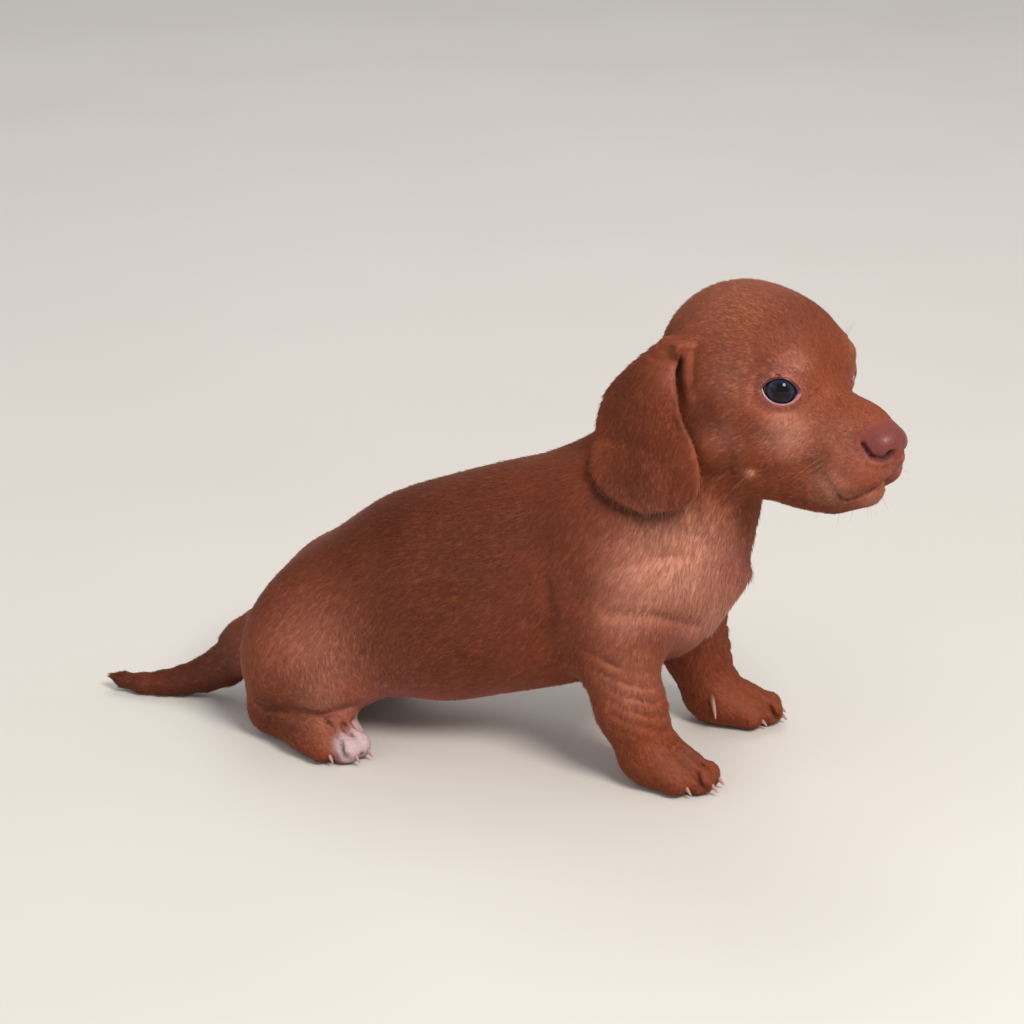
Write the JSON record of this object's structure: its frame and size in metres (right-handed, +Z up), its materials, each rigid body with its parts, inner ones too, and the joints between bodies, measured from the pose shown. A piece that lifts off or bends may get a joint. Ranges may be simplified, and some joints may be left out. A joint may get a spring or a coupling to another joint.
{
  "type": "dachshund puppy",
  "caption": "Life-size still model of a smooth-coated dachshund puppy, half sitting with its head turned to its right, resting on its paws, hocks and tail",
  "frame": {"origin": "on the floor, at the middle of the bounding box's bottom", "axes": "+X from tail to chest and nose, +Y to the animal's left, +Z up"},
  "size_m": [0.3039, 0.1032, 0.1809],
  "materials": {
    "coat": "short flat fur, red brown, soft sheen",
    "ear_coat": "short velvety fur, darker red brown",
    "nose_leather": "moist liver-brown nose leather",
    "lid_skin": "bare pinkish skin",
    "eye": "wet, dark blue-grey iris and pupil",
    "claw": "horn, satin"
  },
  "bodies": {
    "root": {"head": "coat", "nose": "nose_leather", "ear_right": "ear_coat", "eye_right": "eye", "eyelids_right": "lid_skin", "ear_left": "ear_coat", "eye_left": "eye", "eyelids_left": "lid_skin", "neck": "coat", "chest": "coat", "belly": "coat", "hips": "coat", "tail_root": "coat", "tail_tip": "coat", "foreleg_right": "coat", "fore_paw_right": "coat", "thigh_right": "coat", "hind_foot_right": "coat", "foreleg_left": "coat", "fore_paw_left": "coat", "thigh_left": "coat", "hind_foot_left": "coat", "fore_claw_right_1": "claw", "fore_claw_right_2": "claw", "fore_claw_right_3": "claw", "fore_claw_right_4": "claw", "fore_claw_right_5": "claw", "hind_claw_right_1": "claw", "hind_claw_right_2": "claw", "hind_claw_right_3": "claw", "hind_claw_right_4": "claw", "fore_claw_left_1": "claw", "fore_claw_left_2": "claw", "fore_claw_left_3": "claw", "fore_claw_left_4": "claw", "fore_claw_left_5": "claw", "hind_claw_left_1": "claw", "hind_claw_left_2": "claw", "hind_claw_left_3": "claw", "hind_claw_left_4": "claw"}
  },
  "joints": []
}
